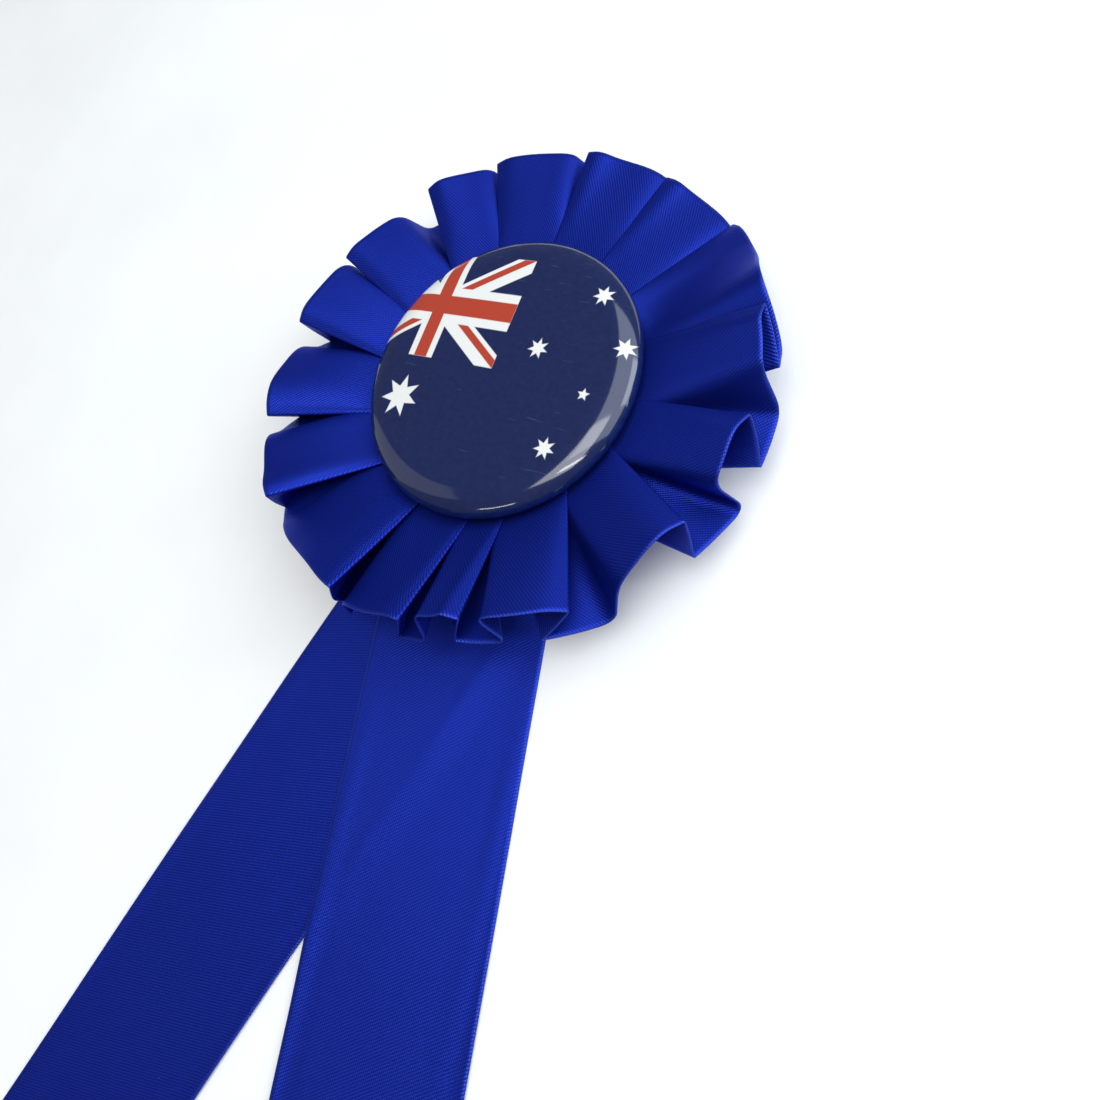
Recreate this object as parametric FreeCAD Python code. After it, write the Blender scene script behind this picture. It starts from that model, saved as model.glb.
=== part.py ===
import FreeCAD, Part
import math
import os

# Award ribbon: a pleated satin rosette with a round button badge in its centre, two
# ribbon tails, and a brooch pin behind it.  It lies face up, as on a table.
# Millimetres.  +Z points out of the badge's face, +Y to the top of the rosette, and the
# tails run towards -Y.  The origin is the middle of the brooch needle's shaft.

V = FreeCAD.Vector

# ---- driving dimensions: the layers, from the table upwards ----
TABLE_Z = -2.0
BAR_THICK = 0.6
BAR_BOTTOM = 2.2
GLUE_THICK = 0.3
BACK_CARD_THICK = 1.0
RIBBON_THICK = 0.4
BASE_CARD_THICK = 1.0
PLEAT_STACK = 2.2
BADGE_RIM_Z = 11.0

BAR_TOP = BAR_BOTTOM + BAR_THICK
BACK_CARD_BOTTOM = BAR_TOP + GLUE_THICK
REAR_ROOT_Z = BACK_CARD_BOTTOM + BACK_CARD_THICK
FRONT_ROOT_Z = REAR_ROOT_Z + RIBBON_THICK
BASE_CARD_BOTTOM = FRONT_ROOT_Z + RIBBON_THICK
BASE_CARD_TOP = BASE_CARD_BOTTOM + BASE_CARD_THICK
PLEAT_TOP = BASE_CARD_TOP + PLEAT_STACK

# ---- button badge, a standard 58 mm press-together button ----
BADGE_R = 29.0
EDGE_ROLL = 3.0
CURL = 2.2
CURL_TUCK = 1.3
DOME_RISE = 0.6
FILM_THICK = 0.15
PRINT_THICK = 0.20
SHELL_THICK = 0.35
BACK_PLATE_THICK = 0.4
BACK_PLATE_GAP = 0.1
PAD_R = 14.0

# ---- pleated ruffle, one 38 mm ribbon ----
PLEAT_INNER_R = 16.0
PLEAT_FLAT_R = 27.5
RIM_R = 54.0
RIDGE_RIM_R = 52.5
VALLEY_RISE = 3.6
RIM_LIFT = 0.2
TAIL_SECTOR_LIFT = 1.2
TAIL_SECTOR = (215.0, 325.0)
# each pleat's top fold, going round anticlockwise: its direction from +X in degrees, and
# how far its rim stands above the badge's rim plane
PLEATS = [
    (19, 7.5), (44, 0.0), (72, -4.0), (94, -4.5), (116, -3.5), (133, 0.0), (157, 1.0), (177, 2.5),
    (202, 4.0), (226, 7.0), (258, 8.5), (277, 9.5), (291, 9.5), (311, 7.0), (337, 6.5), (358, 7.0),
]
SHOULDER_AT = 0.60
SHOULDER_DROP = 1.2
LOW_AT = 0.70
LOW_END = 0.96

# ---- stitches and staples ----
STITCH_R = 0.14
STITCH_RING_R = 20.0
STITCH_COUNT = 32
STITCH_SHARE = 0.6
WIRE_R = 0.25
STAPLE_SPAN = 9.0
STAPLE_YS = (-5.0, 4.0)
CLINCH = 3.2
WIRE_CLEAR = 0.05

# ---- cards ----
BACK_CARD_R = 28.0
BASE_CARD_R = 26.0
CARD_GLUE_R = 24.5
CARD_GLUE_GAP = 0.1

# ---- tails ----
TAIL_W = 38.0
TAIL_TOP_END = 10.0
TAIL_CROSS = 27.0
HINGE_AT = 57.0
TAIL_LEN = 186.0
TAIL_SLANT = 16.0
SLOPE_START_R = 28.6
SLOPE_END_R = 50.0
TAIL_GAP = 0.05
FRONT_LEAN = 12.0
REAR_LEAN = -14.5

# ---- brooch ----
NEEDLE_R = 0.45
SHAFT_HALF = 9.0
NECK_R = 0.7
NEEDLE_TIP_X = 14.2
TIP_R = 0.06
HINGE_X = -13.0
EYE_R = 1.15
EYE_BORE_R = 0.56
EYE_HALF_W = 0.95
RIVET_R = 0.5
RIVET_HEAD_R = 0.85
RIVET_HEAD_THICK = 0.35
EAR_INNER_Y = 1.15
EAR_THICK = 0.5
EAR_HALF_L = 2.0
BAR_START_X = -15.2
BAR_END_X = 11.0
BAR_HALF_W = 2.5
BAR_CORNER = 1.2
BAR_HOLE_R = 0.8
BAR_HOLE_XS = (-7.0, 6.0)
POST_X = 9.9
POST_THICK = 1.1
POST_R = 2.0
LOCK_BORE_R = 0.75
LOCK_R = 1.25
LOCK_CLEAR = 0.05
LOCK_LIP_R = 1.6
LOCK_LIP_THICK = 0.35
LOCK_SIDE_GAP = 0.1
LOCK_KNOB_R = 1.75
LOCK_KNOB_THICK = 1.1
LOCK_SLOT = 1.15
TAB_REACH = 2.6
TAB_HALF_THICK = 0.4
GLUE_OVERHANG = 0.7


def polar(radius, degrees):
    a = math.radians(degrees)
    return radius * math.cos(a), radius * math.sin(a)


def disc(radius, bottom, thick):
    return Part.makeCylinder(radius, thick, V(0, 0, bottom))


def rod(radius, start, end):
    axis = end - start
    return Part.makeCylinder(radius, axis.Length, start, axis)


def block(x0, x1, y0, y1, z0, z1):
    return Part.makeBox(x1 - x0, y1 - y0, z1 - z0, V(x0, y0, z0))


def arc(start, middle, end):
    return Part.Arc(V(*start), V(*middle), V(*end)).toShape()


def line(start, end):
    return Part.makeLine(V(*start), V(*end))


def spun(edges):
    """The solid made by turning a closed profile in the XZ plane about the Z axis."""
    face = Part.Face(Part.Wire(Part.__sortEdges__(edges)))
    return face.revolve(V(0, 0, 0), V(0, 0, 1), 360)


# ---- badge ----

def badge_surface(depth):
    """Profile edges of the badge's skin at a depth under its outer face, axis to tuck."""
    z = BADGE_RIM_Z
    s = math.sqrt(0.5)
    roll = EDGE_ROLL - depth
    curl = CURL - depth
    roll_x = BADGE_R - EDGE_ROLL
    curl_x = BADGE_R - CURL
    top = (0, 0, z + roll + DOME_RISE)
    crown = (roll_x, 0, z + roll)
    half = (roll_x / 2, 0, z + roll + DOME_RISE * 0.75)
    widest = (BADGE_R - depth, 0, z)
    under = (curl_x, 0, z - curl)
    tuck = (curl_x - CURL_TUCK, 0, z - curl)
    edges = [
        arc(top, half, crown),
        arc(crown, (roll_x + roll * s, 0, z + roll * s), widest),
        arc(widest, (curl_x + curl * s, 0, z - curl * s), under),
        line(under, tuck),
    ]
    return edges, top, tuck


def badge_layer(outer_depth, thick):
    outer, outer_top, outer_tuck = badge_surface(outer_depth)
    inner, inner_top, inner_tuck = badge_surface(outer_depth + thick)
    return spun(outer + inner + [line(outer_top, inner_top), line(outer_tuck, inner_tuck)])


def badge_back_plate():
    bottom = BADGE_RIM_Z - CURL + FILM_THICK + PRINT_THICK + SHELL_THICK
    return disc(BADGE_R - CURL - BACK_PLATE_GAP, bottom, BACK_PLATE_THICK)


def badge_pad(wires):
    top = BADGE_RIM_Z - CURL + FILM_THICK + PRINT_THICK + SHELL_THICK
    pad = disc(PAD_R, BASE_CARD_TOP, top - BASE_CARD_TOP)
    return pad.cut(wires)


# ---- ruffle ----

def rim_stations():
    """Points round the rim, clockwise: direction, height of the top face, rim radius."""
    stations = []
    for i in range(len(PLEATS) - 1, -1, -1):
        ridge, rise = PLEATS[i]
        after = PLEATS[i - 1][0] - (360 if i == 0 else 0)
        pitch = ridge - after
        high = BADGE_RIM_Z + rise
        low = TABLE_Z + VALLEY_RISE
        stations.append((ridge, high, RIDGE_RIM_R))
        stations.append((ridge - SHOULDER_AT * pitch, high - SHOULDER_DROP, RIDGE_RIM_R))
        stations.append((ridge - LOW_AT * pitch, low, RIM_R))
        stations.append((ridge - LOW_END * pitch, low, RIM_R))
    return stations


def rim_bottom(degrees):
    lift = TAIL_SECTOR_LIFT if TAIL_SECTOR[0] < degrees % 360 < TAIL_SECTOR[1] else RIM_LIFT
    return TABLE_Z + lift


def quad(a, b, c, d):
    return [Part.Face(Part.makePolygon([a, b, c, a])), Part.Face(Part.makePolygon([a, c, d, a]))]


def ruffle():
    """A closed saw-toothed ring: flat where it is sewn, then rising and falling to the rim."""
    columns = []
    for degrees, high, rim_r in rim_stations():
        section = [
            (PLEAT_INNER_R, PLEAT_TOP),
            (PLEAT_FLAT_R, PLEAT_TOP),
            (rim_r, high),
            (rim_r, rim_bottom(degrees)),
            (PLEAT_FLAT_R, BASE_CARD_TOP),
            (PLEAT_INNER_R, BASE_CARD_TOP),
        ]
        columns.append([V(*polar(r, degrees), z) for r, z in section])
    faces = []
    for here, there in zip(columns, columns[1:] + columns[:1]):
        for k in range(len(here)):
            n = (k + 1) % len(here)
            faces += quad(here[k], here[n], there[n], there[k])
    return Part.Solid(Part.Shell(faces))


def ruffle_stitches():
    stitches = []
    step = 360.0 / STITCH_COUNT
    z = PLEAT_TOP + STITCH_R
    for i in range(STITCH_COUNT):
        start = V(*polar(STITCH_RING_R, i * step), z)
        end = V(*polar(STITCH_RING_R, (i + STITCH_SHARE) * step), z)
        stitches.append(rod(STITCH_R, start, end))
    return Part.makeCompound(stitches)


# ---- cards, tails and staples ----

def staple(y, radius):
    crown_z = REAR_ROOT_Z - WIRE_R
    clinch_z = BASE_CARD_TOP + WIRE_R
    half = STAPLE_SPAN / 2
    path = [
        V(-half + CLINCH, y, clinch_z),
        V(-half, y, clinch_z),
        V(-half, y, crown_z),
        V(half, y, crown_z),
        V(half, y, clinch_z),
        V(half - CLINCH, y, clinch_z),
    ]
    pieces = [rod(radius, a, b) for a, b in zip(path, path[1:])]
    pieces += [Part.makeSphere(radius, corner) for corner in path]
    return pieces[0].multiFuse(pieces[1:]).removeSplitter()


def staple_clearance():
    return Part.makeCompound([staple(y, WIRE_R + WIRE_CLEAR) for y in STAPLE_YS])


def tail_plan(lean, start, end, slant, bottom, height, margin=0.0):
    """An upright prism over a strip that leans from -Y towards +X.  The strips' middle
    lines cross below the centre, so each starts a little to one side of it."""
    half = TAIL_W / 2 + margin
    a = math.radians(lean)
    along = V(math.sin(a), -math.cos(a), 0)
    across = V(math.cos(a), math.sin(a), 0)
    outer = 1 if lean > 0 else -1
    base = V(-TAIL_CROSS * math.tan(a), 0, bottom)
    corners = [
        base + along * (start - margin) - across * half,
        base + along * (start - margin) + across * half,
        base + along * (end + slant * (outer > 0)) + across * half,
        base + along * (end + slant * (outer < 0)) - across * half,
    ]
    return Part.Face(Part.makePolygon(corners + corners[:1])).extrude(V(0, 0, height))


def tail_rest_z(layer):
    return TABLE_Z + layer * (RIBBON_THICK + TAIL_GAP)


def tail_root(lean, layer, root_z, wires):
    """The sewn-in end: level between the cards, then sloping down to the table."""
    rest_z = tail_rest_z(layer)
    reach = HINGE_AT + TAIL_W
    lower = [(0, root_z), (SLOPE_START_R, root_z), (SLOPE_END_R, rest_z), (reach, rest_z)]
    upper = [(r, z + RIBBON_THICK) for r, z in reversed(lower)]
    outline = [V(r, 0, z) for r, z in lower + upper]
    sheet = Part.Face(Part.makePolygon(outline + outline[:1]))
    bowl = sheet.revolve(V(0, 0, 0), V(0, 0, 1), 360)
    strip = tail_plan(lean, -TAIL_TOP_END, HINGE_AT, 0, TABLE_Z - 1, root_z - TABLE_Z + 3)
    return bowl.common(strip).cut(wires)


def tail_free(lean, layer):
    start = HINGE_AT + TAIL_GAP
    end = TAIL_LEN - TAIL_SLANT
    return tail_plan(lean, start, end, TAIL_SLANT, tail_rest_z(layer), RIBBON_THICK)


def card_glue():
    """Adhesive that fills the space between the two cards, beside the tails."""
    height = BASE_CARD_BOTTOM - REAR_ROOT_Z
    glue = disc(CARD_GLUE_R, REAR_ROOT_Z, height)
    for lean in (FRONT_LEAN, REAR_LEAN):
        start = -TAIL_TOP_END
        strip = tail_plan(lean, start, HINGE_AT, 0, REAR_ROOT_Z - 1, height + 2, CARD_GLUE_GAP)
        glue = glue.cut(strip)
    return glue


# ---- brooch ----

def bar_outline(margin, bottom, thick):
    """A bar with rounded corners, as long and wide as the brooch's plus a margin."""
    plate = block(
        BAR_START_X - margin, BAR_END_X + margin,
        -BAR_HALF_W - margin, BAR_HALF_W + margin,
        bottom, bottom + thick,
    )
    upright = [e for e in plate.Edges if abs(e.tangentAt(e.FirstParameter).z) > 0.9]
    return plate.makeFillet(BAR_CORNER + margin, upright)


def brooch_ears():
    ears = []
    for side in (-1, 1):
        inner = side * EAR_INNER_Y
        outer = side * (EAR_INNER_Y + EAR_THICK)
        y0 = min(inner, outer)
        plate = block(
            HINGE_X - EAR_HALF_L, HINGE_X + EAR_HALF_L, y0, y0 + EAR_THICK, 0, BAR_BOTTOM
        )
        low_end = Part.makeCylinder(EAR_HALF_L, EAR_THICK, V(HINGE_X, y0, 0), V(0, 1, 0))
        ears.append(plate.fuse(low_end))
    return ears


def brooch_post():
    """The catch's post: a disc on edge with a bore for the lock and a slot below it."""
    axis = V(1, 0, 0)
    post = Part.makeCylinder(POST_R, POST_THICK, V(POST_X, 0, 0), axis)
    stem = block(POST_X, POST_X + POST_THICK, -POST_R, POST_R, 0, BAR_BOTTOM)
    bore = Part.makeCylinder(LOCK_R + LOCK_CLEAR, POST_THICK + 2, V(POST_X - 1, 0, 0), axis)
    half = LOCK_SLOT / 2
    slot = block(POST_X - 1, POST_X + POST_THICK + 1, -half, half, -POST_R - 1, 0)
    return post.fuse(stem).cut(bore).cut(slot)


def brooch_bar():
    bar = bar_outline(0, BAR_BOTTOM, BAR_THICK)
    bar = bar.multiFuse(brooch_ears() + [brooch_post()])
    reach = EAR_INNER_Y + EAR_THICK + 1
    bar = bar.cut(Part.makeCylinder(RIVET_R, 2 * reach, V(HINGE_X, -reach, 0), V(0, 1, 0)))
    for x in BAR_HOLE_XS:
        bar = bar.cut(Part.makeCylinder(BAR_HOLE_R, BAR_THICK + 2, V(x, 0, BAR_BOTTOM - 1)))
    return bar.removeSplitter()


def brooch_rivet():
    half = EAR_INNER_Y + EAR_THICK
    axis = V(0, 1, 0)
    pin = Part.makeCylinder(RIVET_R, 2 * half, V(HINGE_X, -half, 0), axis)
    head = Part.makeCylinder(RIVET_HEAD_R, RIVET_HEAD_THICK, V(HINGE_X, half, 0), axis)
    start = V(HINGE_X, -half - RIVET_HEAD_THICK, 0)
    tail = Part.makeCylinder(RIVET_HEAD_R, RIVET_HEAD_THICK, start, axis)
    return pin.multiFuse([head, tail]).removeSplitter()


def brooch_needle():
    axis = V(1, 0, 0)
    eye_start = V(HINGE_X, -EYE_HALF_W, 0)
    eye = Part.makeCylinder(EYE_R, 2 * EYE_HALF_W, eye_start, V(0, 1, 0))
    neck = Part.makeCylinder(NECK_R, -SHAFT_HALF - HINGE_X, V(HINGE_X, 0, 0), axis)
    shaft = Part.makeCylinder(NEEDLE_R, 2 * SHAFT_HALF, V(-SHAFT_HALF, 0, 0), axis)
    tip_start = V(SHAFT_HALF, 0, 0)
    tip = Part.makeCone(NEEDLE_R, TIP_R, NEEDLE_TIP_X - SHAFT_HALF, tip_start, axis)
    bore_start = V(HINGE_X, -EYE_HALF_W - 1, 0)
    bore = Part.makeCylinder(EYE_BORE_R, 2 * EYE_HALF_W + 2, bore_start, V(0, 1, 0))
    return eye.multiFuse([neck, shaft, tip]).cut(bore).removeSplitter()


def brooch_lock():
    """A slotted collar that turns in the post and shuts the needle in, with a thumb tab."""
    axis = V(1, 0, 0)
    lip_x = POST_X - LOCK_SIDE_GAP - LOCK_LIP_THICK
    knob_x = POST_X + POST_THICK + LOCK_SIDE_GAP
    end_x = knob_x + LOCK_KNOB_THICK
    tube = Part.makeCylinder(LOCK_R, end_x - lip_x, V(lip_x, 0, 0), axis)
    lip = Part.makeCylinder(LOCK_LIP_R, LOCK_LIP_THICK, V(lip_x, 0, 0), axis)
    knob = Part.makeCylinder(LOCK_KNOB_R, LOCK_KNOB_THICK, V(knob_x, 0, 0), axis)
    tab = block(knob_x, end_x, -TAB_REACH, -LOCK_BORE_R, -TAB_HALF_THICK, TAB_HALF_THICK)
    collar = tube.multiFuse([lip, knob, tab])
    bore = Part.makeCylinder(LOCK_BORE_R, end_x - lip_x + 2, V(lip_x - 1, 0, 0), axis)
    half = LOCK_SLOT / 2
    slot = block(lip_x - 1, end_x + 1, 0, LOCK_KNOB_R + 1, -half, half)
    return collar.cut(bore).cut(slot).removeSplitter()


def build():
    wires = staple_clearance()
    depth = FILM_THICK + PRINT_THICK
    return {
        "badge_film": badge_layer(0, FILM_THICK),
        "badge_print": badge_layer(FILM_THICK, PRINT_THICK),
        "badge_shell": badge_layer(depth, SHELL_THICK),
        "badge_back_plate": badge_back_plate(),
        "badge_pad": badge_pad(wires),
        "ruffle": ruffle(),
        "ruffle_stitches": ruffle_stitches(),
        "base_card": disc(BASE_CARD_R, BASE_CARD_BOTTOM, BASE_CARD_THICK).cut(wires),
        "back_card": disc(BACK_CARD_R, BACK_CARD_BOTTOM, BACK_CARD_THICK).cut(wires),
        "card_glue": card_glue(),
        "tail_staples": Part.makeCompound([staple(y, WIRE_R) for y in STAPLE_YS]),
        "tail_front_root": tail_root(FRONT_LEAN, 1, FRONT_ROOT_Z, wires),
        "tail_front_free": tail_free(FRONT_LEAN, 1),
        "tail_rear_root": tail_root(REAR_LEAN, 0, REAR_ROOT_Z, wires),
        "tail_rear_free": tail_free(REAR_LEAN, 0),
        "brooch_glue": bar_outline(GLUE_OVERHANG, BAR_TOP, GLUE_THICK),
        "brooch_bar": brooch_bar(),
        "brooch_rivet": brooch_rivet(),
        "brooch_needle": brooch_needle(),
        "brooch_lock": brooch_lock(),
    }


os.makedirs("parts", exist_ok=True)
for node, shape in build().items():
    shape.exportStep("parts/" + node + ".step")
    print(node, len(shape.Solids), "solids", round(shape.Volume, 2), "mm3", shape.isValid())
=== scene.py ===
import bpy
import math
import numpy as np
from mathutils import Matrix, Vector


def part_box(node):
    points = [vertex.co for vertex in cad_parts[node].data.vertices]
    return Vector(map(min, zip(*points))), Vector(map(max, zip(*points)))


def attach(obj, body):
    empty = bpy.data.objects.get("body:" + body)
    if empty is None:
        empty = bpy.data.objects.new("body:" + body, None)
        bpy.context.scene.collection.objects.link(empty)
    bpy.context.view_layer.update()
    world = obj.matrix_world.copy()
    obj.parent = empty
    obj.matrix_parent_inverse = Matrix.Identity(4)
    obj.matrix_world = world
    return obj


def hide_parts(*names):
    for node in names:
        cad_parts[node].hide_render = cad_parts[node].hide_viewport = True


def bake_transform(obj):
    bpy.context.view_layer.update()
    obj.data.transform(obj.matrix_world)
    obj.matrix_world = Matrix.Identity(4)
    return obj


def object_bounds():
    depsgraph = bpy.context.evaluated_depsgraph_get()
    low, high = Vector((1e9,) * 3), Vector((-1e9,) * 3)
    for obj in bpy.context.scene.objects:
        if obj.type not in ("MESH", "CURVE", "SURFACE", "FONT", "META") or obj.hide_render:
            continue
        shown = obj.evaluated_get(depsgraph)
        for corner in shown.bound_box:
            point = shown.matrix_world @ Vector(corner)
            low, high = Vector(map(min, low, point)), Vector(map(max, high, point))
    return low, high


# Award ribbon: a pleated satin rosette with a round button badge, two ribbon tails and a
# brooch pin behind it.  Sizes are millimetres unless a heading says metres; meshes are
# made in metres.

MM = 0.001

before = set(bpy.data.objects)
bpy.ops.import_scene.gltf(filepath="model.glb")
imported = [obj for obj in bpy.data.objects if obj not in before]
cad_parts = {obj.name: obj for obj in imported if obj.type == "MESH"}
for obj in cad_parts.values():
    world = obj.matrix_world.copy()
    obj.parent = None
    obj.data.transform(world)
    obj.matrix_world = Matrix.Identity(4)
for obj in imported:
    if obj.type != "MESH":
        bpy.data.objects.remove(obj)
cad_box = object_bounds()


def top_of(node):
    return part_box(node)[1].z / MM


def bottom_of(node):
    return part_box(node)[0].z / MM


# ---- heights and sizes taken from the frame ----
TABLE_Z = bottom_of("tail_rear_free")
BACK_CARD_TOP = top_of("back_card")
CARD_TOP = top_of("base_card")
BADGE_TOP = top_of("badge_film")
BADGE_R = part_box("badge_film")[1].x / MM

# ---- badge: how its face rolls off, and the pressed edge tucked under it ----
EDGE_ROLL = 3.0
EDGE_WIDE = 6.0
DOME_RISE = 0.6
CURL = 2.2
CURL_TUCK = 1.3
SKIN_T = 0.33
SHELL_T = 0.33
LAYER_GAP = 0.02
RIM_PLANE = BADGE_TOP - EDGE_ROLL - DOME_RISE
# crimps round the drawn-over edge: how many, and how deep
COARSE_CRIMPS = (72, 0.05)
UNEVEN_CRIMPS = (31, 0.02)
CRIMP_TUCK = 0.06
CRIMP_TOP = 0.6
CRIMP_FADE = 2.0
DOME_POINTS = 22
ROLL_POINTS = 30
CURL_POINTS = 16
AROUND = 288

# ---- ruffle: one ribbon in 16 knife pleats ----
RIBBON_W = 38.0
RIBBON_T = 0.24
RUFFLE_INNER_R = 16.0
SEWN_W = 11.5
FREE_W = RIBBON_W - SEWN_W
STACK_TOP = CARD_TOP + 2.05
LAYER_STEP = 0.60
OVERLAP_INNER = 2.0
OVERLAP_BADGE = 1.3
FOLD_GAP = 0.42
SHARP_CUT = 0.7
CROWN_AT = 0.45
SHOULDER_AT = 1.12
FOOT_AT = 1.3
OPENING_POWER = 1.05
# small waves along the rim: height and the two lengths that are mixed
RIM_RIPPLE = 0.07
RIPPLE_LONG = 3.1
RIPPLE_SHORT = 1.9

# One row for each pleat, going round clockwise.  Directions are degrees from +X, steps
# are degrees clockwise from the pleat's own fold, heights are above the badge's rim plane.
# fold at badge, fold at rim, fold height, crown height, shoulder step and height,
# foot step and height, underfold step and height, bow of the crown between badge and
# rim, and how nearly straight the rim runs from fold to shoulder (0 for an arc)
PLEATS = [
    (94, 94, -5.0, -6.5, 16, -8.0, 20, -9.5, 26, -11.0, 0.4, 0.0),
    (70, 75, -8.5, -10.0, 16, -11.0, 20, -12.0, 26, -12.0, 0.4, 0.0),
    (49, 55, -10.5, -7.0, 27, 8.0, 40, 1.0, 44, 1.0, 0.2, 1.0),
    (28, 20, 7.5, 8.0, 12, 6.5, 15, -3.0, 26, -3.5, 0.3, 0.0),
    (4, -1, 6.5, 8.0, 14, 6.0, 12, -6.0, 25, -2.5, 0.3, 0.0),
    (-17, -23, 6.5, 8.0, 16, 5.5, 21, -3.5, 34, 0.5, 0.4, 0.0),
    (-40, -49, 6.0, 9.0, 17, 10.0, 14, 2.5, 24, 4.0, 0.2, 0.0),
    (-67, -69, 10.5, 11.0, 10, 10.5, 11, 3.0, 18, 2.0, 0.3, 0.0),
    (-82, -83, 9.5, 8.5, 18, 6.0, 20, -2.0, 27, -5.0, 0.4, 0.0),
    (-107, -101, 10.5, 8.5, 28, 2.5, 32, 0.0, 36, -2.0, 0.8, 1.0),
    (-132, -135, 7.0, 5.5, 18, 3.5, 22, -2.0, 28, -7.0, 0.9, 0.6),
    (-156, -158, 4.0, 4.5, 20, -0.5, 23, -6.0, 26, -8.5, 0.9, 0.0),
    (-179, -183, 2.5, 2.5, 18, 0.5, 20, -8.0, 25, -9.0, 0.9, 0.0),
    (-199, -202, 1.0, 0.5, 16, -1.0, 19, -9.5, 27, -10.5, 0.9, 0.0),
    (-222, -227, -0.5, -1.0, 15, -3.5, 17, -8.5, 22, -10.0, 0.9, 0.0),
    (-243, -244, -3.0, -3.5, 18, -5.0, 20, -8.0, 26, -10.0, 0.8, 0.0),
]
# Keys across one pleat: underside and top of the fold, lip, crown, shoulder, foot, top
# and underside of the underfold, and the middle of what the next pleat hides.
KEYS = 9
CROWN = 3
CORNER_POINTS = [4, 4, 6, 5, 7, 7, 4, 4, 5]
RUN_POINTS = [0, 1, 2, 3, 2, 3, 0, 3, 3]
SHARP_KEYS = (0, 1, 6, 7)
SOFTNESS = [0, 0, 0.42, 0.46, 0.34, 0.24, 0, 0, 0.46]
# the lip is the soft rise of the satin just inside its fold, in degrees and millimetres
LIP_STEP = 3.2
LIP_RISE = 0.8
LIP_AT = 0.12
SEWN_ROWS = 5
FREE_ROWS = 30

# ---- satin weave, metres ----
TWILL_PITCH = 0.00062
TWILL_SLOPE = 0.62
TWILL_WANDER = 0.00012
DASH_PITCH = 0.00068
DASH_SLOPE = 1.45
WEAVE_DEPTH = 0.00004
# width of the band along each long edge of the ribbon that is coloured lighter
LIGHT_EDGE_BAND = 0.0005
# lint: cells along a metre with a speck in each, and the speck's radius in cells
LINT_CELLS = 95
LINT_RADIUS = 0.012

# ---- sewing thread: one turn of its twist, metres ----
THREAD_TWIST = 0.0004488

# ---- tails ----
TAIL_TOP_END = -10.0
TAIL_CROSS = 27.0
TAIL_LEN = 186.0
TAIL_SLANT = 16.0
TAIL_T = 0.30
ROOT_T = 0.4
SLOPE_START_R = 28.6
SLOPE_END_R = 50.0
SLOPE_EASE = 0.7
FRONT_LEAN = 12.0
REAR_LEAN = -14.5
LIE_GAP = 0.03
DRAPE_WIDTH = 7.0
DRAPE_RIDGE = 0.10
RIDGE_WIDTH = 1.2
WAVE_HEIGHT = 0.22
WAVE_ALONG = 23.0
WAVE_ACROSS = 15.0
WAVE_FADE_IN = 30.0
EDGE_CURL = 0.25
CURL_ALONG = 17.0
TAIL_ROWS = 45
TAIL_COLUMNS = 150

# ---- flag print on the badge: height, squeeze and place of its centre ----
FLAG_H = 46.3
FLAG_SQUEEZE = 0.763
FLAG_X = -0.455
FLAG_Y = 2.475
INK_SOFTNESS = 0.0022
CANTON_CENTRE = (0.523, 0.694)
CANTON_HALF = (0.5, 0.2528)
RED_CROSS = 0.044
WHITE_CROSS = 0.084
SALTIRE_HALF = 0.0593
SALTIRE_RED = 0.0377
STAR_INNER = 0.48
STAR_EDGE = 0.09
PAPER_WHITE = (226, 226, 222)
FLAG_RED = (172, 60, 40)
# depth of the shallow dents in the film, metres
FILM_DENTS = 0.00006
# centre across and up the flag, outer radius in millimetres, points
STARS = [
    (0.5, 0.25, 4.5, 7),
    (1.5, 1 / 6, 2.1, 7),
    (1.25, 0.5625, 2.1, 7),
    (1.5, 5 / 6, 2.1, 7),
    (1.7222, 0.6292, 2.1, 7),
    (1.6, 0.41, 1.2, 5),
]

# ---- camera: where it stands, the point level with the needle that it looks at, and the
# direction on the table, in degrees from +X, that is upwards in its picture ----
LENS = 28.2
SENSOR_W = 36.0
CAMERA_PLACE = (94.6, -51.0, 141.9)
CAMERA_AIM = (18.1, -27.9, 0.0)
PICTURE_UP = 112.7

# ---- lights, metres and watts: name, place, width and height, power, colour ----
WHITE = (1.0, 1.0, 1.0)
DAYLIGHT = (0.86, 0.93, 1.0)
LIGHTS = [
    ("top", (0.22, -0.10, 1.1), (0.6, 0.6), 4.8, WHITE),
    ("window", (0.50, 0.42, 0.82), (1.35, 1.15), 11.5, DAYLIGHT),
    ("window_low", (0.86, 0.50, 0.42), (0.8, 0.5), 4.5, DAYLIGHT),
    ("left", (-1.0, -0.25, 0.36), (1.6, 0.5), 1.2, WHITE),
    ("front", (0.36, -0.26, 0.98), (0.45, 0.06), 0.9, WHITE),
    ("low", (-0.09, -0.80, 0.66), (0.35, 0.04), 0.6, WHITE),
]
ROOM_COLOUR = (0.94, 0.96, 1.0, 1.0)
ROOM_STRENGTH = 0.16
# half the floor's side, millimetres
FLOOR_HALF = 1500.0


def mix(a, b, t):
    return a + (b - a) * t


def smooth(t):
    t = np.clip(t, 0, 1)
    return t * t * (3 - 2 * t)


# ---- meshes ----

def mesh_object(name, verts, faces, material):
    """A smooth-shaded object from corners in millimetres."""
    mesh = bpy.data.meshes.new(name)
    mesh.from_pydata((np.array(verts) * MM).tolist(), [], faces)
    mesh.polygons.foreach_set("use_smooth", [True] * len(mesh.polygons))
    mesh.materials.append(material)
    obj = bpy.data.objects.new(name, mesh)
    bpy.context.scene.collection.objects.link(obj)
    return obj


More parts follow.
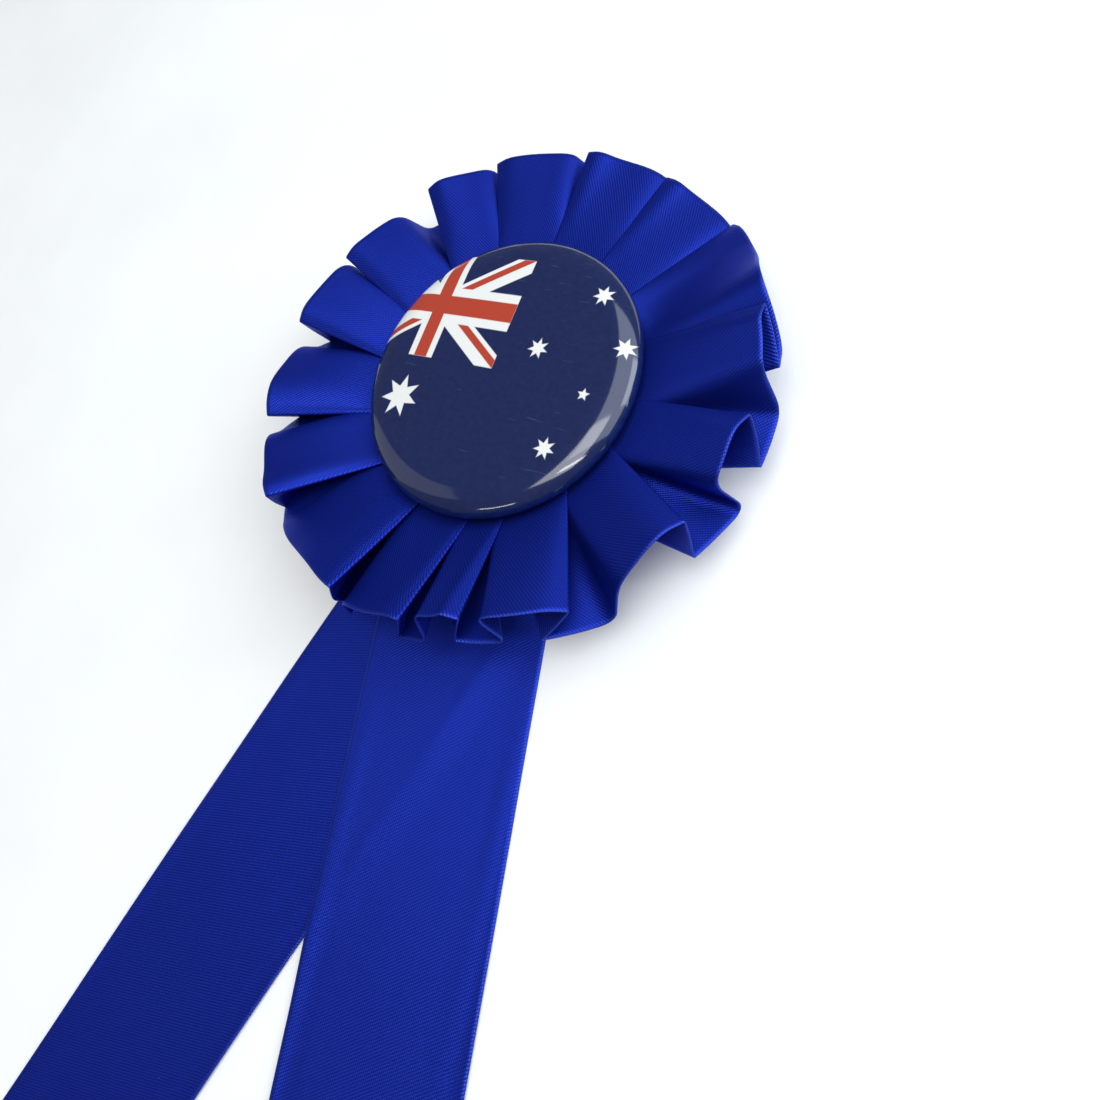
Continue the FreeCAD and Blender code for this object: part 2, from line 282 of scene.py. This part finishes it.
def grid_normals(points, closed):
    """Unit normals of a grid of points, rows by columns; closed grids wrap in columns."""
    if closed:
        du = np.roll(points, -1, 1) - np.roll(points, 1, 1)
    else:
        du = np.gradient(points, axis=1)
    dv = np.gradient(points, axis=0)
    normal = np.cross(du, dv)
    return normal / np.maximum(np.linalg.norm(normal, axis=2, keepdims=True), 1e-12)


def ribbon_object(name, points, uv, thick, closed, material):
    """A thin solid about a grid of points in millimetres, with one UV per grid point."""
    rows, cols, _ = points.shape
    normal = grid_normals(points, closed)
    sides = [points + normal * thick / 2, points - normal * thick / 2]
    verts = np.concatenate([side.reshape(-1, 3) for side in sides])
    size = rows * cols
    last = cols if closed else cols - 1
    faces = []
    face_uv = []

    def add(corners, places):
        faces.append(corners)
        face_uv.extend(places)

    def at(row, col, side):
        return side * size + row * cols + col % cols

    for row in range(rows - 1):
        for col in range(last):
            ring = [(row, col), (row + 1, col), (row + 1, col + 1), (row, col + 1)]
            add([at(r, c, 0) for r, c in ring], [uv(r, c) for r, c in ring])
            back = ring[::-1]
            add([at(r, c, 1) for r, c in back], [uv(r, c) for r, c in back])
    for col in range(last):
        for row, step in ((0, 1), (rows - 1, 0)):
            a, b = (col, col + 1) if step else (col + 1, col)
            add(
                [at(row, a, 0), at(row, b, 0), at(row, b, 1), at(row, a, 1)],
                [uv(row, a), uv(row, b), uv(row, b), uv(row, a)],
            )
    if not closed:
        for row in range(rows - 1):
            for col, turn in ((0, 1), (cols - 1, 0)):
                a, b = (row + 1, row) if turn else (row, row + 1)
                add(
                    [at(a, col, 0), at(b, col, 0), at(b, col, 1), at(a, col, 1)],
                    [uv(a, col), uv(b, col), uv(b, col), uv(a, col)],
                )
    obj = mesh_object(name, verts, faces, material)
    layer = obj.data.uv_layers.new(name="Ribbon")
    layer.data.foreach_set("uv", np.array(face_uv, dtype=np.float32).ravel())
    obj.data.update()
    return obj


# ---- ruffle ----

def next_pleat(i):
    return PLEATS[(i + 1) % len(PLEATS)]


def sewn_keys(radius, overlap):
    """Fold, lip, crown, shoulder, foot and underfold of every pleat where they lie flat:
    rows of direction in degrees, radius, height and bow."""
    steps = [0, 0, LIP_AT, CROWN_AT, SHOULDER_AT, FOOT_AT]
    steps += [1 + overlap, 1 + overlap, 1 + overlap / 2]
    drops = [-0.5, 0, 0, 0, 0, 0, 0, 0.5, 0.5]
    keys = []
    for i, row in enumerate(PLEATS):
        pitch = (row[0] - next_pleat(i)[0]) % 360
        for step, drop in zip(steps, drops):
            z = STACK_TOP + LAYER_STEP * (drop - step)
            keys.append((row[0] - step * pitch, radius, z, 0))
    return np.array(keys)


def rim_keys(sewn):
    """The same keys at the rim, a free ribbon's width out from the sewn ones."""
    keys = []
    for i, row in enumerate(PLEATS):
        fold, fold_z, crown_z, sh_step, sh_z, ft_step, ft_z, un_step, un_z, bow, flat = row[1:]
        after = next_pleat(i)
        middle = (un_step + (fold - after[1]) % 360) / 2
        crown_step = sh_step * CROWN_AT
        lip_z = mix(fold_z, crown_z, LIP_STEP / crown_step) + LIP_RISE
        steps = [0, 0, LIP_STEP, crown_step, sh_step, ft_step, un_step, un_step, middle]
        heights = [
            fold_z - FOLD_GAP, fold_z, lip_z, crown_z, sh_z, ft_z, un_z, un_z + FOLD_GAP,
            (un_z + after[2]) / 2,
        ]
        bows = [0, 0, bow / 2, bow, bow, 0, 0, 0, 0]
        for k in range(KEYS):
            z = RIM_PLANE + heights[k]
            run = math.sqrt(FREE_W ** 2 - (z - sewn[i * KEYS + k][2]) ** 2)
            radius = RUFFLE_INNER_R + SEWN_W + run
            if k == CROWN:
                radius *= mix(1, math.cos(math.radians(sh_step / 2)), flat)
            keys.append((fold - steps[k], radius, z, bows[k]))
    return np.array(keys)


def unwrapped(keys):
    """The same keys with directions that go on past a full turn, for one pleat more at
    each end."""
    turn = (360, 0, 0, 0)
    return np.concatenate([keys[-KEYS:] + turn, keys, keys[:KEYS] - turn])


def to_xyz(points):
    a = np.radians(points[..., 0])
    return np.stack([points[..., 1] * np.cos(a), points[..., 1] * np.sin(a), points[..., 2]], -1)


def rounded_section(keys):
    """The section's line through its keys with each corner rounded, once round."""
    ring = unwrapped(keys)
    gaps = np.linalg.norm(np.diff(to_xyz(ring), axis=0), axis=1)
    line = []
    total = len(PLEATS) * KEYS
    before = np.zeros((total + 1, 4))
    after = np.zeros((total + 1, 4))
    for n in range(total + 1):
        k = n % KEYS
        j = n + KEYS
        back, ahead = gaps[j - 1], gaps[j]
        if k in SHARP_KEYS:
            cuts = [
                0.5 if gap < 2 * FOLD_GAP else min(0.45, SHARP_CUT / gap)
                for gap in (back, ahead)
            ]
        else:
            cuts = [SOFTNESS[k], SOFTNESS[k]]
        before[n] = mix(ring[j], ring[j - 1], cuts[0])
        after[n] = mix(ring[j], ring[j + 1], cuts[1])
    for n in range(total):
        k = n % KEYS
        corner = ring[n + KEYS]
        for t in np.linspace(0, 1, CORNER_POINTS[k]):
            line.append(mix(mix(before[n], corner, t), mix(corner, after[n], t), t))
        for q in range(RUN_POINTS[k]):
            line.append(mix(after[n], before[n + 1], (q + 1) / (RUN_POINTS[k] + 1)))
    return np.array(line)


def ruffle_rows():
    """Distances across the ribbon from its sewn edge, one for each row of the mesh."""
    sewn = np.linspace(0, SEWN_W, SEWN_ROWS, endpoint=False)
    free = np.linspace(SEWN_W, RIBBON_W, FREE_ROWS)
    return np.concatenate([sewn, free])


def ruffle_points(rows):
    """Rows of points: flat where sewn, then straight out to the rim with a slight bow."""
    inner = rounded_section(sewn_keys(RUFFLE_INNER_R, OVERLAP_INNER))
    sewn = sewn_keys(RUFFLE_INNER_R + SEWN_W, OVERLAP_BADGE)
    edge = rounded_section(sewn)
    rim = rounded_section(rim_keys(sewn))
    points = []
    for across in rows:
        if across < SEWN_W:
            points.append(mix(to_xyz(inner), to_xyz(edge), across / SEWN_W))
            continue
        t = (across - SEWN_W) / FREE_W
        row = mix(to_xyz(edge), to_xyz(rim), t)
        row[:, 2] = mix(edge[:, 2], rim[:, 2], t ** OPENING_POWER)
        row[:, 2] += rim[:, 3] * math.sin(math.pi * t)
        points.append(row)
    return np.stack(points)


def make_ruffle(material):
    rows = ruffle_rows()
    points = ruffle_points(rows)
    rim = points[-1]
    steps = np.linalg.norm(np.roll(rim, -1, 0) - rim, axis=1)
    along = np.concatenate([[0], np.cumsum(steps)])
    ripple = np.sin(along[:-1] / RIPPLE_LONG + 0.7) + np.sin(along[:-1] / RIPPLE_SHORT)
    share = np.clip((rows - SEWN_W) / FREE_W, 0, 1) ** 2
    points[..., 2] += RIM_RIPPLE * ripple[None, :] * share[:, None]

    def uv(row, col):
        return along[col] * MM, rows[row] * MM

    obj = ribbon_object("ruffle_ribbon", points, uv, RIBBON_T, True, material)
    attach(obj, "head")
    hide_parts("ruffle")
    return obj


# ---- tails ----

def lean_axes(lean):
    """A tail's start, and its directions along and across.  The tails' middle lines
    cross below the badge's centre, so each starts a little to one side of it."""
    a = math.radians(lean)
    start = np.array([-TAIL_CROSS * math.tan(a), 0])
    return start, np.array([math.sin(a), -math.cos(a)]), np.array([math.cos(a), math.sin(a)])


def root_height(r, root_z, rest_z):
    t = np.clip((r - SLOPE_START_R) / (SLOPE_END_R - SLOPE_START_R), 0, 1)
    return mix(root_z, rest_z, mix(t, smooth(t), SLOPE_EASE))


def outside_rear(x, y):
    """How far a place is beyond the rear tail's right edge, in millimetres."""
    start, _, across = lean_axes(REAR_LEAN)
    return (x - start[0]) * across[0] + y * across[1] - RIBBON_W / 2


def make_tail(name, lean, root_z, nodes, material, over_rear):
    """One tail: level between the cards, sloping to the table, then lying along it."""
    start, along, across = lean_axes(lean)
    outer = 1 if lean > 0 else -1
    rows = np.linspace(-RIBBON_W / 2, RIBBON_W / 2, TAIL_ROWS)
    cols = np.linspace(0, 1, TAIL_COLUMNS)
    c, f = np.meshgrid(rows, cols, indexing="ij")
    end = TAIL_LEN - TAIL_SLANT / 2 + outer * c / (RIBBON_W / 2) * TAIL_SLANT / 2
    a = TAIL_TOP_END + f * (end - TAIL_TOP_END)
    x = start[0] + along[0] * a + across[0] * c
    y = start[1] + along[1] * a + across[1] * c
    r = np.hypot(x, y)
    on_table = TABLE_Z + TAIL_T / 2 + LIE_GAP
    rest = np.full_like(x, on_table)
    if over_rear:
        beyond = outside_rear(x, y)
        lift = TAIL_T + 2 * LIE_GAP + DRAPE_RIDGE
        rest += lift * (1 - smooth(beyond / DRAPE_WIDTH))
        rest += DRAPE_RIDGE * np.exp(-(beyond / RIDGE_WIDTH) ** 2)
    free = smooth((a - SLOPE_END_R) / WAVE_FADE_IN)
    wave = np.sin(a / WAVE_ALONG + lean) * np.cos(c / WAVE_ACROSS + 0.3 * lean) + 1
    rest += WAVE_HEIGHT * free * wave
    curl = (np.abs(c) / (RIBBON_W / 2)) ** 6
    rest += EDGE_CURL * curl * free * (1 + np.sin(a / CURL_ALONG + c))
    z = root_height(r, root_z, rest)
    points = np.stack([x, y, z], -1)
    lengths = a * MM

    def uv(row, col):
        return lengths[row, col], (rows[row] + RIBBON_W / 2) * MM

    obj = ribbon_object(name, points, uv, TAIL_T, False, material)
    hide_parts(*nodes)
    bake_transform(obj)
    return obj


def make_tails(material):
    rear_root_z = BACK_CARD_TOP + ROOT_T / 2
    make_tail(
        "rear_tail_ribbon", REAR_LEAN, rear_root_z, ["tail_rear_root", "tail_rear_free"],
        material, False,
    )
    make_tail(
        "front_tail_ribbon", FRONT_LEAN, rear_root_z + ROOT_T,
        ["tail_front_root", "tail_front_free"], material, True,
    )


# ---- badge ----

def arc_points(centre, radius, start, end, count):
    angles = np.radians(np.linspace(start, end, count))
    return [(centre[0] + radius * math.cos(a), centre[1] + radius * math.sin(a)) for a in angles]


def badge_profile(depth):
    """Radius and height along the badge's skin at a depth under it, centre to tuck."""
    roll_x = BADGE_R - EDGE_WIDE
    curl_x = BADGE_R - CURL
    dome_r = (roll_x ** 2 + DOME_RISE ** 2) / (2 * DOME_RISE)
    edge = math.degrees(math.asin(roll_x / dome_r))
    centre_z = RIM_PLANE + EDGE_ROLL + DOME_RISE - dome_r
    dome = arc_points((0, centre_z), dome_r - depth, 90, 90 - edge, DOME_POINTS)
    roll = [
        (roll_x + (EDGE_WIDE - depth) * math.cos(a), RIM_PLANE + (EDGE_ROLL - depth) * math.sin(a))
        for a in np.radians(np.linspace(90, 0, ROLL_POINTS))
    ]
    under = arc_points((curl_x, RIM_PLANE), CURL - depth, 0, -90, CURL_POINTS)
    tuck = [(curl_x - CURL_TUCK, RIM_PLANE - CURL + depth)]
    return dome[:-1] + roll + under[1:] + tuck


def crimp(r, z, angle):
    """How far the drawn-over edge stands in or out at a place on the skin."""
    if r < BADGE_R - EDGE_WIDE:
        return 0.0
    depth = smooth((RIM_PLANE + CRIMP_TOP - z) / CRIMP_FADE)
    coarse = COARSE_CRIMPS[1] * math.sin(COARSE_CRIMPS[0] * angle)
    uneven = UNEVEN_CRIMPS[1] * math.sin(UNEVEN_CRIMPS[0] * angle + 1)
    return depth * (coarse + uneven - CRIMP_TUCK)


def make_badge_layer(name, depth, thick, nodes, material):
    """One pressed or printed layer of the badge, drawn over the edge and tucked under."""
    outer = badge_profile(depth)
    inner = badge_profile(depth + thick)[::-1]
    rings = outer[1:] + inner[:-1]
    verts = [(0, 0, outer[0][1])]
    angles = [2 * math.pi * i / AROUND for i in range(AROUND)]
    for r, z in rings:
        for a in angles:
            reach = r + crimp(r, z, a)
            verts.append((reach * math.cos(a), reach * math.sin(a), z))
    verts.append((0, 0, inner[-1][1]))
    end = len(verts) - 1
    last = 1 + (len(rings) - 1) * AROUND
    faces = []
    for i in range(AROUND):
        n = (i + 1) % AROUND
        faces.append((0, 1 + i, 1 + n))
        faces.append((last + i, end, last + n))
    for k in range(len(rings) - 1):
        base = 1 + k * AROUND
        for i in range(AROUND):
            n = (i + 1) % AROUND
            faces.append((base + i, base + AROUND + i, base + AROUND + n, base + n))
    obj = mesh_object(name, verts, faces, material)
    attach(obj, "head")
    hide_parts(*nodes)


def make_badge(tin):
    face_nodes = ["badge_film", "badge_print"]
    make_badge_layer("badge_face", 0.0, SKIN_T, face_nodes, printed_flag())
    under = SKIN_T + LAYER_GAP
    make_badge_layer("badge_pressing", under, SHELL_T, ["badge_shell"], tin)


# ---- shader helpers ----

class Nodes:
    """Short calls for building a material's nodes."""

    def __init__(self, name):
        self.material = bpy.data.materials.new(name)
        self.material.use_nodes = True
        self.tree = self.material.node_tree
        self.shader = self.tree.nodes["Principled BSDF"]

    def new(self, kind, **settings):
        node = self.tree.nodes.new(kind)
        for key, value in settings.items():
            setattr(node, key, value)
        return node

    def put(self, socket, value):
        if isinstance(value, bpy.types.NodeSocket):
            self.tree.links.new(value, socket)
        else:
            socket.default_value = value

    def math(self, operation, a, b=0.0):
        node = self.new("ShaderNodeMath", operation=operation)
        for socket, value in zip(node.inputs, (a, b)):
            self.put(socket, value)
        return node.outputs[0]

    def coordinates(self, kind):
        node = self.new("ShaderNodeTexCoord")
        return node.outputs[kind]

    def split(self, vector):
        node = self.new("ShaderNodeSeparateXYZ")
        self.put(node.inputs[0], vector)
        return node.outputs

    def join(self, x, y):
        node = self.new("ShaderNodeCombineXYZ")
        for socket, value in zip(node.inputs, (x, y)):
            self.put(socket, value)
        return node.outputs[0]

    def scaled(self, vector, factors):
        node = self.new("ShaderNodeVectorMath", operation="MULTIPLY")
        self.put(node.inputs[0], vector)
        node.inputs[1].default_value = factors
        return node.outputs[0]

    def noise(self, vector, scale, detail=3.0, roughness=0.55):
        node = self.new("ShaderNodeTexNoise")
        self.put(node.inputs["Vector"], vector)
        node.inputs["Scale"].default_value = scale
        node.inputs["Detail"].default_value = detail
        node.inputs["Roughness"].default_value = roughness
        return node.outputs["Fac"]

    def cells(self, vector, scale):
        node = self.new("ShaderNodeTexVoronoi")
        self.put(node.inputs["Vector"], vector)
        node.inputs["Scale"].default_value = scale
        return node.outputs["Distance"]

    def ramp(self, value, low, high, to_low=0.0, to_high=1.0):
        node = self.new("ShaderNodeMapRange")
        for socket, number in zip(node.inputs, (value, low, high, to_low, to_high)):
            self.put(socket, number)
        return node.outputs[0]

    def blend(self, share, a, b):
        node = self.new("ShaderNodeMix", data_type="RGBA")
        for socket, value in ((node.inputs[0], share), (node.inputs[6], a), (node.inputs[7], b)):
            self.put(socket, value)
        return node.outputs[2]

    def bump(self, height, distance, strength=1.0):
        node = self.new("ShaderNodeBump")
        node.inputs["Strength"].default_value = strength
        node.inputs["Distance"].default_value = distance
        self.put(node.inputs["Height"], height)
        self.put(self.shader.inputs["Normal"], node.outputs[0])

    def set(self, **values):
        for key, value in values.items():
            self.put(self.shader.inputs[key.replace("_", " ")], value)


def colour(red, green, blue):
    """Linear colour with alpha from the 0-255 numbers that a screen shows."""
    def linear(c):
        c /= 255
        return c / 12.92 if c <= 0.04045 else ((c + 0.055) / 1.055) ** 2.4
    return (linear(red), linear(green), linear(blue), 1.0)


# ---- materials ----

def satin():
    """Royal blue satin: long floats in a fine diagonal weave, with painted sheen that makes the
    colour lighter along the twill.
    """
    n = Nodes("royal_blue_satin")
    u, v, _ = n.split(n.coordinates("UV"))
    flat = n.join(u, v)
    shift = n.math("MULTIPLY", n.noise(flat, 260, 2.0), TWILL_WANDER)
    twill = n.math("ADD", n.math("ADD", u, n.math("MULTIPLY", v, TWILL_SLOPE)), shift)
    cross = n.math("SUBTRACT", u, n.math("MULTIPLY", v, DASH_SLOPE))
    lines = n.math("SINE", n.math("MULTIPLY", twill, 2 * math.pi / TWILL_PITCH))
    dashes = n.math("SINE", n.math("MULTIPLY", cross, 2 * math.pi / DASH_PITCH))
    weave = n.math("ADD", n.math("MULTIPLY", lines, 0.5), n.math("MULTIPLY", dashes, 0.28))
    grain = n.noise(n.scaled(flat, (1, 2.2, 1)), 2600, 2.0)
    weave = n.math("ADD", weave, n.math("MULTIPLY", grain, 0.9))
    level = n.ramp(weave, -0.5, 1.3)
    # the twill lines are the weave's real pattern; their dark-to-light colour is painted sheen on
    # the floats
    body = n.blend(level, colour(9, 20, 104), colour(31, 54, 176))
    cloud = n.ramp(n.noise(flat, 55, 3.0), 0.3, 0.7, 0.0, 0.25)
    body = n.blend(cloud, body, colour(21, 38, 142))
    # a narrow band along each long edge of the ribbon is coloured lighter
    edge = n.math("MINIMUM", v, n.math("SUBTRACT", RIBBON_W * MM, v))
    body = n.blend(n.ramp(edge, LIGHT_EDGE_BAND, 0.0, 0.0, 0.35), body, colour(70, 92, 200))
    lint = n.math("LESS_THAN", n.cells(flat, LINT_CELLS), LINT_RADIUS)
    body = n.blend(lint, body, colour(150, 160, 205))
    n.set(Base_Color=body)
    n.set(Roughness=n.ramp(level, 0, 1, 0.44, 0.33))
    n.set(Metallic=0.65, Specular_IOR_Level=0.3, Specular_Tint=colour(150, 175, 255))
    floats = n.new("ShaderNodeTangent", direction_type="UV_MAP", uv_map="Ribbon")
    n.set(Anisotropic=0.8, Anisotropic_Rotation=0.25, Tangent=floats.outputs[0])
    n.bump(weave, WEAVE_DEPTH, 0.8)
    return n.material


def star_mask(n, place, star):
    """1 inside a star whose first point is up; stars are round though the flag is not."""
    across, up, radius, points = star
    cx = FLAG_X + (across - 1) * FLAG_H * FLAG_SQUEEZE
    cy = FLAG_Y + (up - 0.5) * FLAG_H
    dx = n.math("SUBTRACT", place[0], cx * MM)
    dy = n.math("SUBTRACT", place[1], cy * MM)
    half = math.pi / points
    angle = n.math("PINGPONG", n.math("ARCTAN2", dx, dy), half)
    reach = n.math("SQRT", n.math("ADD", n.math("POWER", dx, 2.0), n.math("POWER", dy, 2.0)))
    px = n.math("MULTIPLY", reach, n.math("COSINE", angle))
    py = n.math("MULTIPLY", reach, n.math("SINE", angle))
    inner = radius * STAR_INNER
    side = Vector((inner * math.sin(half), radius - inner * math.cos(half))).normalized()
    away = n.math("ADD", n.math("MULTIPLY", px, side.x), n.math("MULTIPLY", py, side.y))
    edge = side.x * radius
    return n.ramp(away, (edge + STAR_EDGE) * MM, (edge - STAR_EDGE) * MM)


def band(n, value, low, high):
    """1 where a value lies between two bounds, with edges as soft as ink."""
    rise = n.ramp(value, low - INK_SOFTNESS, low + INK_SOFTNESS)
    fall = n.ramp(value, high + INK_SOFTNESS, high - INK_SOFTNESS)
    return n.math("MULTIPLY", rise, fall)


def highest(n, values):
    result = values[0]
    for value in values[1:]:
        result = n.math("MAXIMUM", result, value)
    return result


def flag_ink(n, place, navy):
    """The colours of the flag at a place on the badge: navy, canton, crosses and stars."""
    across = FLAG_H * FLAG_SQUEEZE * MM
    up = FLAG_H * MM
    x = n.math("ADD", n.math("MULTIPLY", place[0], 1 / across), 1 - FLAG_X * MM / across)
    y = n.math("ADD", n.math("MULTIPLY", place[1], 1 / up), 0.5 - FLAG_Y * MM / up)
    cx = n.math("SUBTRACT", x, CANTON_CENTRE[0])
    cy = n.math("SUBTRACT", y, CANTON_CENTRE[1])
    width, height = CANTON_HALF
    canton = n.math("MULTIPLY", band(n, cx, -width, width), band(n, cy, -height, height))
    slope = n.math("MULTIPLY", cx, height / width)
    diagonals = (n.math("SUBTRACT", cy, slope), n.math("ADD", cy, slope))
    white_saltire = highest(n, [band(n, d, -SALTIRE_HALF, SALTIRE_HALF) for d in diagonals])
    fly = n.math("GREATER_THAN", cx, 0.0)
    hoist = n.math("SUBTRACT", 1.0, fly)
    above = highest(n, [band(n, d, 0, SALTIRE_RED) for d in diagonals])
    below = highest(n, [band(n, d, -SALTIRE_RED, 0) for d in diagonals])
    red_saltire = n.math("ADD", n.math("MULTIPLY", above, fly), n.math("MULTIPLY", below, hoist))
    white_cross = highest(n, [band(n, d, -WHITE_CROSS, WHITE_CROSS) for d in (cx, cy)])
    red_cross = highest(n, [band(n, d, -RED_CROSS, RED_CROSS) for d in (cx, cy)])
    stars = highest(n, [star_mask(n, place, star) for star in STARS])
    ink = navy
    layers = [
        (white_saltire, PAPER_WHITE), (red_saltire, FLAG_RED),
        (white_cross, PAPER_WHITE), (red_cross, FLAG_RED),
    ]
    for shape, paint in layers:
        ink = n.blend(n.math("MULTIPLY", canton, shape), ink, colour(*paint))
    return n.blend(stars, ink, colour(*PAPER_WHITE))


def printed_flag():
    """The national flag of Australia, squeezed and cropped by the round badge, under a
    clear glossy film with fine scratches."""
    n = Nodes("badge_print_under_film")
    object_place = n.coordinates("Object")
    mottle = n.noise(object_place, 900, 4.0)
    navy = n.blend(n.ramp(mottle, 0.3, 0.7), colour(10, 24, 68), colour(15, 31, 78))
    ink = flag_ink(n, n.split(object_place), navy)
    scratch_way = n.scaled(object_place, (1.0, 14.0, 1.0))
    scratches = n.ramp(n.noise(scratch_way, 170, 2.0), 0.70, 0.74, 0.0, 0.10)
    ink = n.blend(scratches, ink, colour(120, 130, 165))
    n.set(Base_Color=ink, Roughness=0.6, Specular_IOR_Level=0.08)
    n.set(Coat_Weight=1.0, Coat_Roughness=0.09, Coat_IOR=1.64)
    n.bump(n.noise(object_place, 45, 2.0), FILM_DENTS, 0.5)
    return n.material


def metal(name, tint, roughness, scale):
    """Brushed metal with faint darker spots."""
    n = Nodes(name)
    place = n.coordinates("Object")
    brushed = n.noise(n.scaled(place, (1, 9, 1)), scale, 3.0)
    spots = n.noise(place, scale / 6, 4.0)
    shade = tuple(c * 0.72 for c in tint[:3]) + (1.0,)
    n.set(Base_Color=n.blend(n.ramp(spots, 0.35, 0.7), tint, shade), Metallic=1.0)
    n.set(Roughness=n.ramp(brushed, 0.2, 0.8, roughness * 0.75, roughness * 1.4))
    n.bump(brushed, 0.00001, 0.6)
    return n.material


def card():
    """Grey-white pasteboard with paper fibres."""
    n = Nodes("pasteboard")
    place = n.coordinates("Object")
    fibres = n.noise(n.scaled(place, (1, 3, 1)), 1400, 5.0, 0.7)
    cloud = n.noise(place, 120, 3.0)
    base = n.blend(n.ramp(fibres, 0.3, 0.75), colour(205, 200, 188), colour(228, 225, 216))
    base = n.blend(n.ramp(cloud, 0.45, 0.75, 0, 0.35), base, colour(192, 184, 168))
    n.set(Base_Color=base, Roughness=0.88, Specular_IOR_Level=0.25)
    n.bump(fibres, 0.00003, 0.7)
    return n.material


def foam():
    """White foam with open pores, with painted shade in the pores."""
    n = Nodes("white_foam")
    place = n.coordinates("Object")
    pores = n.cells(place, 1500)
    # painted shade: grey in the pores, white between them
    base = n.blend(n.ramp(pores, 0.0, 0.5), colour(150, 150, 148), colour(232, 232, 228))
    n.set(Base_Color=base, Roughness=0.95)
    n.bump(pores, 0.0001, 0.9)
    return n.material


def thread():
    """Blue sewing thread with its twist, with painted shade in the twist's grooves and painted
    highlight on its ridges.
    """
    n = Nodes("blue_thread")
    place = n.split(n.coordinates("Object"))
    along = n.math("ADD", place[0], n.math("ADD", place[1], place[2]))
    twist = n.math("SINE", n.math("MULTIPLY", along, 2 * math.pi / THREAD_TWIST))
    # painted shade and highlight: darker bands in the twist's grooves, lighter on its ridges
    base = n.blend(n.ramp(twist, -1, 1), colour(12, 22, 92), colour(36, 56, 160))
    n.set(Base_Color=base, Roughness=0.6)
    n.bump(twist, 0.00002, 0.8)
    return n.material


def adhesive():
    """Cloudy, lumpy hot-melt adhesive."""
    n = Nodes("dried_adhesive")
    place = n.coordinates("Object")
    lumps = n.noise(place, 260, 3.0)
    base = n.blend(n.ramp(lumps, 0.3, 0.7), colour(196, 184, 142), colour(224, 216, 184))
    n.set(Base_Color=base, Roughness=0.32, Subsurface_Weight=0.2)
    n.bump(lumps, 0.0002, 0.6)
    return n.material


def table_top():
    n = Nodes("pale_table")
    place = n.coordinates("Object")
    cloud = n.noise(place, 18, 4.0)
    n.set(Base_Color=n.blend(n.ramp(cloud, 0.3, 0.7), colour(236, 236, 235), colour(242, 242, 240)))
    n.set(Roughness=0.75, Specular_IOR_Level=0.2)
    return n.material


# ---- dressing the carried-over parts ----

def dress(material, *nodes):
    for node in nodes:
        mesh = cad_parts[node].data
        mesh.materials.clear()
        mesh.materials.append(material)


def dress_frame(tin):
    nickel = metal("nickel_plate", colour(205, 203, 198), 0.22, 2600)
    dress(nickel, "brooch_bar", "brooch_lock", "brooch_rivet")
    dress(metal("needle_steel", colour(190, 192, 196), 0.16, 3200), "brooch_needle")
    dress(metal("staple_wire", colour(180, 182, 186), 0.28, 3000), "tail_staples")
    dress(tin, "badge_back_plate")
    dress(card(), "base_card", "back_card")
    dress(foam(), "badge_pad")
    dress(thread(), "ruffle_stitches")
    dress(adhesive(), "card_glue", "brooch_glue")


# ---- stage ----

def make_floor():
    half = FLOOR_HALF
    z = cad_box[0].z / MM
    corners = [(-half, -half, z), (half, -half, z), (half, half, z), (-half, half, z)]
    mesh_object("floor", corners, [(0, 1, 2, 3)], table_top())


def aim(obj, place, forward, up):
    """Stand a camera or light at a place, facing along forward with up upwards."""
    f = Vector(forward).normalized()
    right = f.cross(Vector(up)).normalized()
    top = right.cross(f)
    turn = Matrix((right, top, -f)).transposed().to_4x4()
    obj.matrix_world = Matrix.Translation(Vector(place)) @ turn


def soft_light(name, place, size, power, tint):
    """A rectangular light that faces the origin, with its width level."""
    data = bpy.data.lights.new(name, "AREA")
    data.shape = "RECTANGLE"
    data.size, data.size_y = size
    data.energy = power
    data.color = tint
    light = bpy.data.objects.new(name, data)
    bpy.context.scene.collection.objects.link(light)
    nearly_y = (0, 1, 0.01)
    aim(light, place, -Vector(place), nearly_y)


def make_lights():
    for settings in LIGHTS:
        soft_light(*settings)
    world = bpy.data.worlds.new("room")
    bpy.context.scene.world = world
    world.use_nodes = True
    background = world.node_tree.nodes["Background"]
    background.inputs["Color"].default_value = ROOM_COLOUR
    background.inputs["Strength"].default_value = ROOM_STRENGTH


def make_camera():
    data = bpy.data.cameras.new("camera")
    data.sensor_width = SENSOR_W
    data.lens = LENS
    data.clip_start = 0.01
    camera = bpy.data.objects.new("camera", data)
    bpy.context.scene.collection.objects.link(camera)
    up = (math.cos(math.radians(PICTURE_UP)), math.sin(math.radians(PICTURE_UP)), 0)
    aim(camera, Vector(CAMERA_PLACE) * MM, Vector(CAMERA_AIM) - Vector(CAMERA_PLACE), up)
    bpy.context.scene.camera = camera


def make_object():
    tin = metal("tinplate", colour(200, 201, 204), 0.30, 1800)
    cloth = satin()
    dress_frame(tin)
    make_ruffle(cloth)
    make_tails(cloth)
    make_badge(tin)


bpy.context.scene.view_settings.view_transform = "Standard"
make_camera()
make_lights()
make_floor()
make_object()
